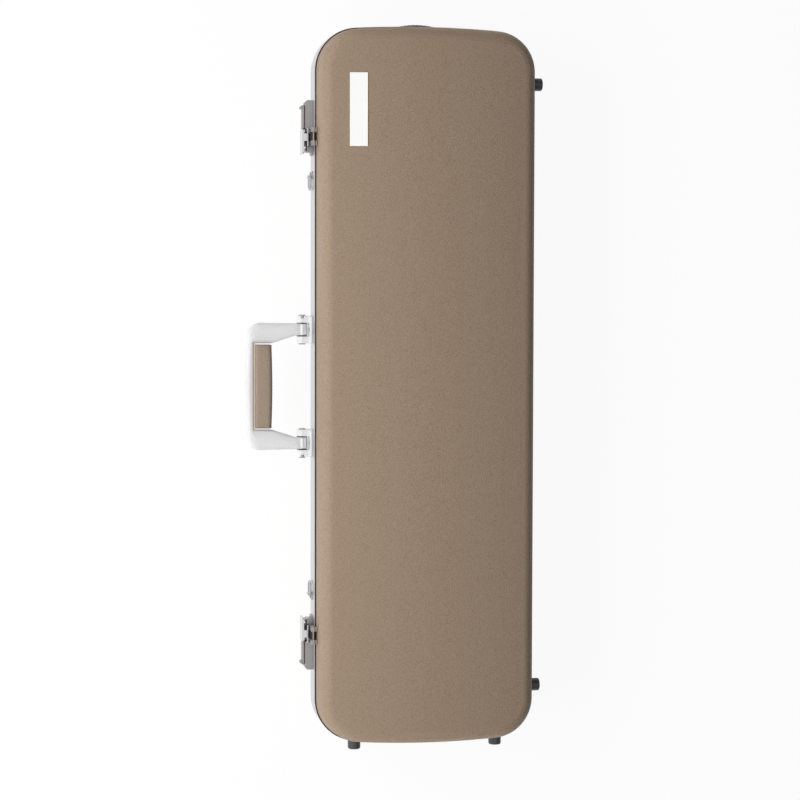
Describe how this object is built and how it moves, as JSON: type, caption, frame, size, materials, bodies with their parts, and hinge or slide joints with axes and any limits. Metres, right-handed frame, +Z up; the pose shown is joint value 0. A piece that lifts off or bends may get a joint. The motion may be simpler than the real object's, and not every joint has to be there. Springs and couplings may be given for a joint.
{
  "type": "violin case",
  "caption": "Oblong hard case for a violin: hinged lid with two latches, folding carry handle, lined inside with foam cradle, accessory tray and bow holders.",
  "frame": {"origin": "middle of the flat back that the case lies on", "axes": "+X along the case to the lower end with the end feet, -Y to the latches and handle, +Y to the hinges, +Z up through the lid"},
  "size_m": [0.7979, 0.3234, 0.14],
  "materials": {
    "lid_leatherette": "pebble-grained taupe leatherette",
    "body_leatherette": "pebble-grained taupe leatherette",
    "anodised_frame": "satin anodised",
    "hinge_steel": "nickel plated",
    "latch_zinc": "satin nickel plated die casting",
    "chrome_steel": "polished",
    "handle_alloy": "satin lacquered die casting",
    "grip_leather": "smooth taupe leather",
    "black_rubber": "semi-gloss moulded",
    "end_handle_rubber": "moulded strap",
    "mount_plastic": "moulded",
    "plush": "short pile lining",
    "strap_webbing": "hook-and-loop strap",
    "holder_plastic": "moulded",
    "bare_plate": "polished, bare",
    "tab_leather": "stitched"
  },
  "bodies": {
    "case_body": {"body_shell": "body_leatherette", "body_frame": "anodised_frame", "gasket": "black_rubber", "body_trim": "black_rubber", "hinge_leaves_body": "hinge_steel", "hinge_pins": "hinge_steel", "hinge_rivets_body": "hinge_steel", "body_feet": "black_rubber", "handle_bracket_left": "latch_zinc", "handle_bracket_right": "latch_zinc", "handle_pins": "hinge_steel", "bracket_screws": "hinge_steel", "latch_housing_left": "latch_zinc", "latch_housing_right": "latch_zinc", "latch_pin_left": "hinge_steel", "latch_pin_right": "hinge_steel", "latch_rivets": "hinge_steel", "strap_lug_left": "chrome_steel", "strap_lug_right": "chrome_steel", "end_handle": "end_handle_rubber", "end_handle_mounts": "mount_plastic", "end_handle_screws": "hinge_steel", "floor_pad": "plush", "body_lining": "plush", "upper_foam_block": "plush", "lower_foam_block": "plush", "neck_cradle": "plush", "neck_strap": "strap_webbing", "accessory_tray": "plush", "accessory_flap_pin": "hinge_steel"},
    "handle": {"handle_frame": "handle_alloy", "handle_grip": "grip_leather"},
    "hasp_left": {"latch_hasp_left": "chrome_steel"},
    "hasp_right": {"latch_hasp_right": "chrome_steel"},
    "slider_left": {"latch_slider_left": "latch_zinc"},
    "slider_right": {"latch_slider_right": "latch_zinc"},
    "d_ring_left": {"d_ring_left": "chrome_steel"},
    "d_ring_right": {"d_ring_right": "chrome_steel"},
    "accessory_flap": {"accessory_flap": "plush", "accessory_flap_tab": "tab_leather"},
    "bow_spinner_front": {"bow_spinner_front": "holder_plastic"},
    "bow_spinner_rear": {"bow_spinner_rear": "holder_plastic"},
    "lid": {"lid_shell": "lid_leatherette", "lid_frame": "anodised_frame", "lid_trim": "black_rubber", "hinge_leaves_lid": "hinge_steel", "hinge_rivets_lid": "hinge_steel", "lid_feet": "black_rubber", "latch_catch_left": "latch_zinc", "latch_catch_right": "latch_zinc", "lid_lining": "plush", "bow_spinner_bases": "holder_plastic", "bow_tip_holders": "holder_plastic", "blank_plate": "bare_plate"}
  },
  "joints": [
    {"name": "lid_hinge", "type": "hinge", "parent": "case_body", "child": "lid", "pos_m": [0, 0.1215, 0.086], "axis": [-1, 0, 0], "range_deg": [0, 100]},
    {"name": "handle_hinge", "type": "hinge", "parent": "case_body", "child": "handle", "pos_m": [0, -0.1324, 0.0755], "axis": [1, 0, 0], "range_deg": [-75, 75]},
    {"name": "hasp_left_hinge", "type": "hinge", "parent": "case_body", "child": "hasp_left", "pos_m": [-0.273, -0.1265, 0.0715], "axis": [1, 0, 0], "range_deg": [0, 100]},
    {"name": "slider_left_slide", "type": "slide", "parent": "case_body", "child": "slider_left", "axis": [-1, 0, 0], "range_m": [0, 0.004], "stiffness_N_per_m": 150},
    {"name": "d_ring_left_hinge", "type": "hinge", "parent": "case_body", "child": "d_ring_left", "pos_m": [-0.2296, -0.12421, 0.0755], "axis": [0, 0, -1], "range_deg": [0, 150]},
    {"name": "hasp_right_hinge", "type": "hinge", "parent": "case_body", "child": "hasp_right", "pos_m": [0.273, -0.1265, 0.0715], "axis": [1, 0, 0], "range_deg": [0, 100]},
    {"name": "slider_right_slide", "type": "slide", "parent": "case_body", "child": "slider_right", "axis": [1, 0, 0], "range_m": [0, 0.004], "stiffness_N_per_m": 150},
    {"name": "d_ring_right_hinge", "type": "hinge", "parent": "case_body", "child": "d_ring_right", "pos_m": [0.2296, -0.12421, 0.0755], "axis": [0, 0, 1], "range_deg": [0, 150]},
    {"name": "accessory_flap_hinge", "type": "hinge", "parent": "case_body", "child": "accessory_flap", "pos_m": [-0.2584, 0, 0.0778], "axis": [0, 1, 0], "range_deg": [0, 75]},
    {"name": "bow_spinner_front_hinge", "type": "hinge", "parent": "lid", "child": "bow_spinner_front", "pos_m": [0.265, -0.042, 0.12], "axis": [0, 0, 1], "range_deg": [0, 90]},
    {"name": "bow_spinner_rear_hinge", "type": "hinge", "parent": "lid", "child": "bow_spinner_rear", "pos_m": [0.265, 0.042, 0.12], "axis": [0, 0, -1], "range_deg": [0, 90]}
  ],
  "couplings": [
    {"joint": "accessory_flap_hinge", "follows": "lid_hinge", "ratio": 0.75}
  ]
}
